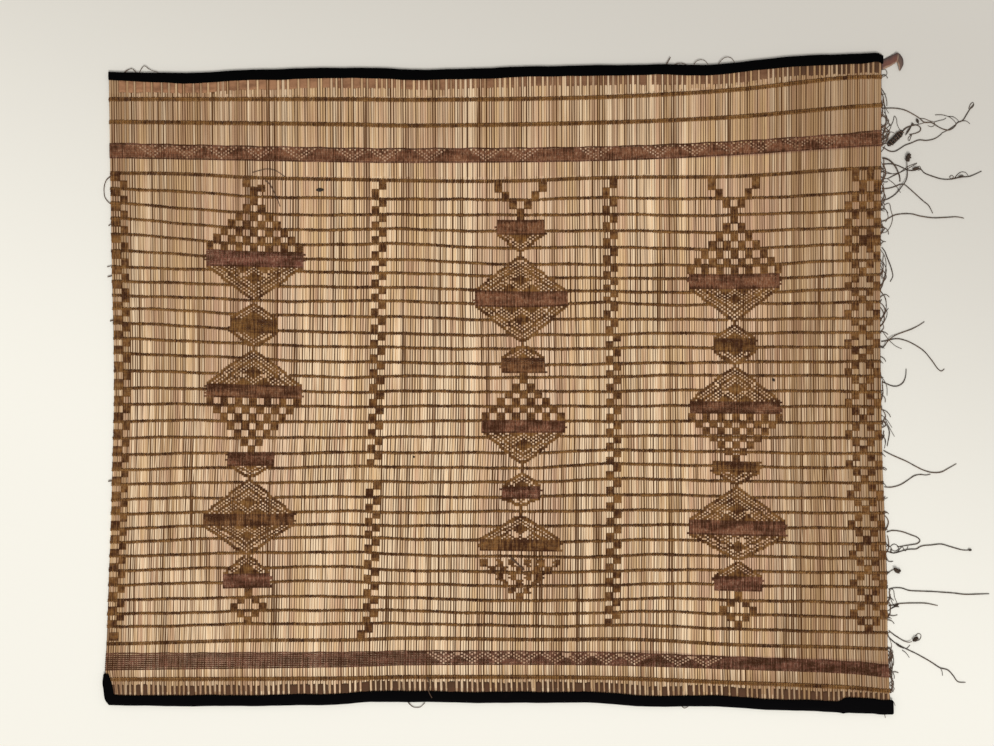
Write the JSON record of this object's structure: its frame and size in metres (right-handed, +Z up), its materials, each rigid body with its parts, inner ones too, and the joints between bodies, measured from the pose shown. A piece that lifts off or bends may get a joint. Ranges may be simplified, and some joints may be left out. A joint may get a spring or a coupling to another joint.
{
  "type": "reed and leather floor mat",
  "caption": "Flat floor mat of grass stems laid side by side and twined with leather thongs, with dark leather bindings, a corner tab and loose thong ends.",
  "frame": {"origin": "middle of the mat's box, without the loose thongs, on its underside", "axes": "+X along the leather thongs, towards their loose ends; +Y along the stems, towards the corner tab; +Z up"},
  "size_m": [1.373, 1.0246, 0.0072],
  "materials": {
    "grass_stem": "dry straw, smooth, slightly glossy",
    "black_leather": "thin dyed leather, creased, dull",
    "brown_leather": "thin red-brown leather, worn",
    "red_leather": "thin red-brown leather, worn",
    "thong_leather": "narrow grey-brown thongs, dry and dull"
  },
  "bodies": {
    "root": {"stem_field": "grass_stem", "binding_top": "black_leather", "binding_bottom": "black_leather", "strip_top": "brown_leather", "strip_bottom": "brown_leather", "corner_tab": "red_leather", "fringe_right": "thong_leather", "thong_crest": "thong_leather", "thong_bundled": "thong_leather", "thong_lower_crest": "thong_leather", "thong_arc": "thong_leather", "thong_knotted": "thong_leather", "thong_stub": "thong_leather", "thong_slope": "thong_leather", "thong_level": "thong_leather", "thong_bent": "thong_leather", "thong_rising": "thong_leather", "thong_falling": "thong_leather", "thong_hook": "thong_leather", "thong_edge": "thong_leather", "thong_wave": "thong_leather", "thong_joining": "thong_leather", "thong_loop": "thong_leather", "thong_curled": "thong_leather", "thong_longest": "thong_leather", "thong_straight": "thong_leather", "thong_knob": "thong_leather", "thong_lowest": "thong_leather", "knot_bundle": "thong_leather", "knot_stub": "thong_leather", "knot_knob": "thong_leather", "knot_bead": "thong_leather"}
  },
  "joints": []
}
